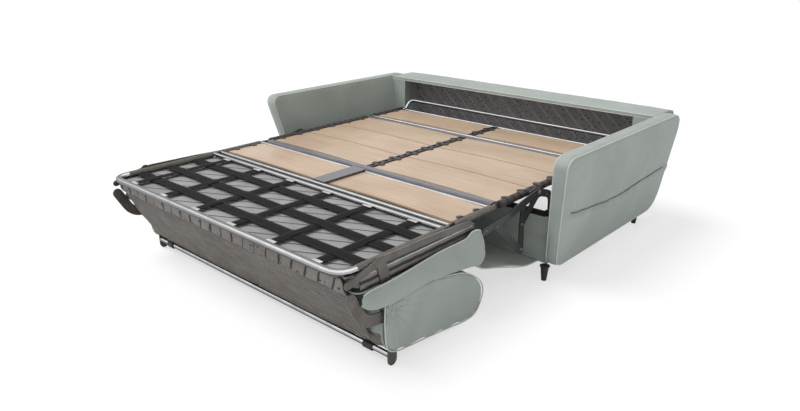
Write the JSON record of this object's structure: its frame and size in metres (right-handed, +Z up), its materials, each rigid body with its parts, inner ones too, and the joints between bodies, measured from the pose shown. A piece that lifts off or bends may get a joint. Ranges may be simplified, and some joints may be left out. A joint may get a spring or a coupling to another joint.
{
  "type": "sleeper sofa",
  "caption": "Two-arm sleeper sofa shown open: a folding slatted bed frame reaches out from the seat well, its seat and backrest turned over at the foot.",
  "frame": {"origin": "on the floor under the middle of the open sofa bed's footprint", "axes": "+X to the right seen from the foot of the bed, +Y from the foot of the bed to the sofa's back, +Z up"},
  "size_m": [1.9304, 2.296, 0.622],
  "materials": {
    "upholstery": "soft sage velvet",
    "dark_lining": "dark lining cloth",
    "pale_lining": "quilted lining cloth",
    "webbing": "woven elastic webbing",
    "birch": "satin lacquered birch",
    "black_steel": "semi-gloss black",
    "dark_plastic": "matte dark plastic",
    "taupe_steel": "satin powder coat",
    "grey_steel": "satin grey",
    "chrome_tube": "bright satin chrome"
  },
  "bodies": {
    "sofa": {"arm_left": "upholstery", "arm_right": "upholstery", "back_shell": "upholstery", "back_post_left": "upholstery", "back_post_right": "upholstery", "back_lining": "dark_lining", "front_panel": "upholstery", "lift_frame": "black_steel", "rear_cross_bar": "black_steel", "leg_front_left": "dark_plastic", "leg_front_right": "dark_plastic", "leg_rear_left": "dark_plastic", "leg_rear_right": "dark_plastic", "apron_cloth": "upholstery"},
    "lift": {"lift_lever_left": "black_steel", "lift_lever_right": "black_steel", "torsion_tube": "grey_steel"},
    "middle": {"middle_rail_left": "dark_plastic", "middle_rail_right": "dark_plastic", "middle_bracket_left": "taupe_steel", "middle_bracket_right": "taupe_steel", "slat_middle_1_left": "birch", "slat_middle_1_right": "birch", "slat_middle_2_left": "birch", "slat_middle_2_right": "birch", "slat_middle_3_left": "birch", "slat_middle_3_right": "birch", "middle_front_bar": "grey_steel", "middle_rear_tube": "grey_steel", "middle_spine": "dark_plastic"},
    "head": {"head_rail_left": "dark_plastic", "head_rail_right": "dark_plastic", "slat_head_left": "birch", "slat_head_right": "birch", "head_front_tube": "chrome_tube", "head_rear_tube": "chrome_tube", "head_spine": "dark_plastic"},
    "hoop": {"pillow_hoop": "chrome_tube"},
    "knee": {"knee_rail_left": "taupe_steel", "knee_rail_right": "taupe_steel", "slat_knee_left": "birch", "slat_knee_right": "birch", "knee_rear_tube": "chrome_tube", "knee_front_tube": "chrome_tube", "knee_plate": "grey_steel"},
    "seat": {"seat_rail_left": "taupe_steel", "seat_rail_right": "taupe_steel", "formed_rail_left": "taupe_steel", "formed_rail_right": "taupe_steel", "seat_rear_tube": "chrome_tube", "foot_tube": "chrome_tube", "seat_webbing": "webbing", "seat_lining": "pale_lining", "seat_cushion": "upholstery", "foot_lining": "dark_lining"},
    "backrest": {"backrest_cushion": "upholstery", "foot_leg_left": "taupe_steel", "foot_leg_right": "taupe_steel", "floor_bar": "chrome_tube"}
  },
  "joints": [
    {"name": "bed_lift", "type": "hinge", "parent": "sofa", "child": "lift", "pos_m": [0, 0.118, 0.121], "axis": [-1, 0, 0], "range_deg": [0, 110], "deforming": ["apron_cloth"]},
    {"name": "bed_level", "type": "hinge", "parent": "lift", "child": "middle", "pos_m": [0, -0.001, 0.419], "axis": [1, 0, 0], "range_deg": [0, 102]},
    {"name": "head_fold", "type": "hinge", "parent": "middle", "child": "head", "pos_m": [0, 0.533, 0.42], "axis": [1, 0, 0], "range_deg": [0, 103]},
    {"name": "hoop_fold", "type": "hinge", "parent": "head", "child": "hoop", "pos_m": [0, 0.8255, 0.42], "axis": [-1, 0, 0], "range_deg": [0, 185]},
    {"name": "knee_fold", "type": "hinge", "parent": "middle", "child": "knee", "pos_m": [0, -0.285, 0.42], "axis": [-1, 0, 0], "range_deg": [0, 90]},
    {"name": "seat_fold", "type": "hinge", "parent": "knee", "child": "seat", "pos_m": [0, -0.582, 0.42], "axis": [-1, 0, 0], "range_deg": [0, 90]},
    {"name": "backrest_fold", "type": "hinge", "parent": "seat", "child": "backrest", "pos_m": [0, -0.91, 0.247], "axis": [-1, 0, 0], "range_deg": [0, 94], "deforming": ["foot_lining"]}
  ],
  "couplings": [
    {"joint": "bed_level", "follows": "bed_lift", "ratio": 0.9272},
    {"joint": "head_fold", "follows": "bed_lift", "ratio": 0.9363},
    {"joint": "hoop_fold", "follows": "bed_lift", "ratio": 1.6818},
    {"joint": "knee_fold", "follows": "bed_lift", "ratio": 0.8181},
    {"joint": "seat_fold", "follows": "bed_lift", "ratio": 0.8181},
    {"joint": "backrest_fold", "follows": "bed_lift", "ratio": 0.8545}
  ]
}
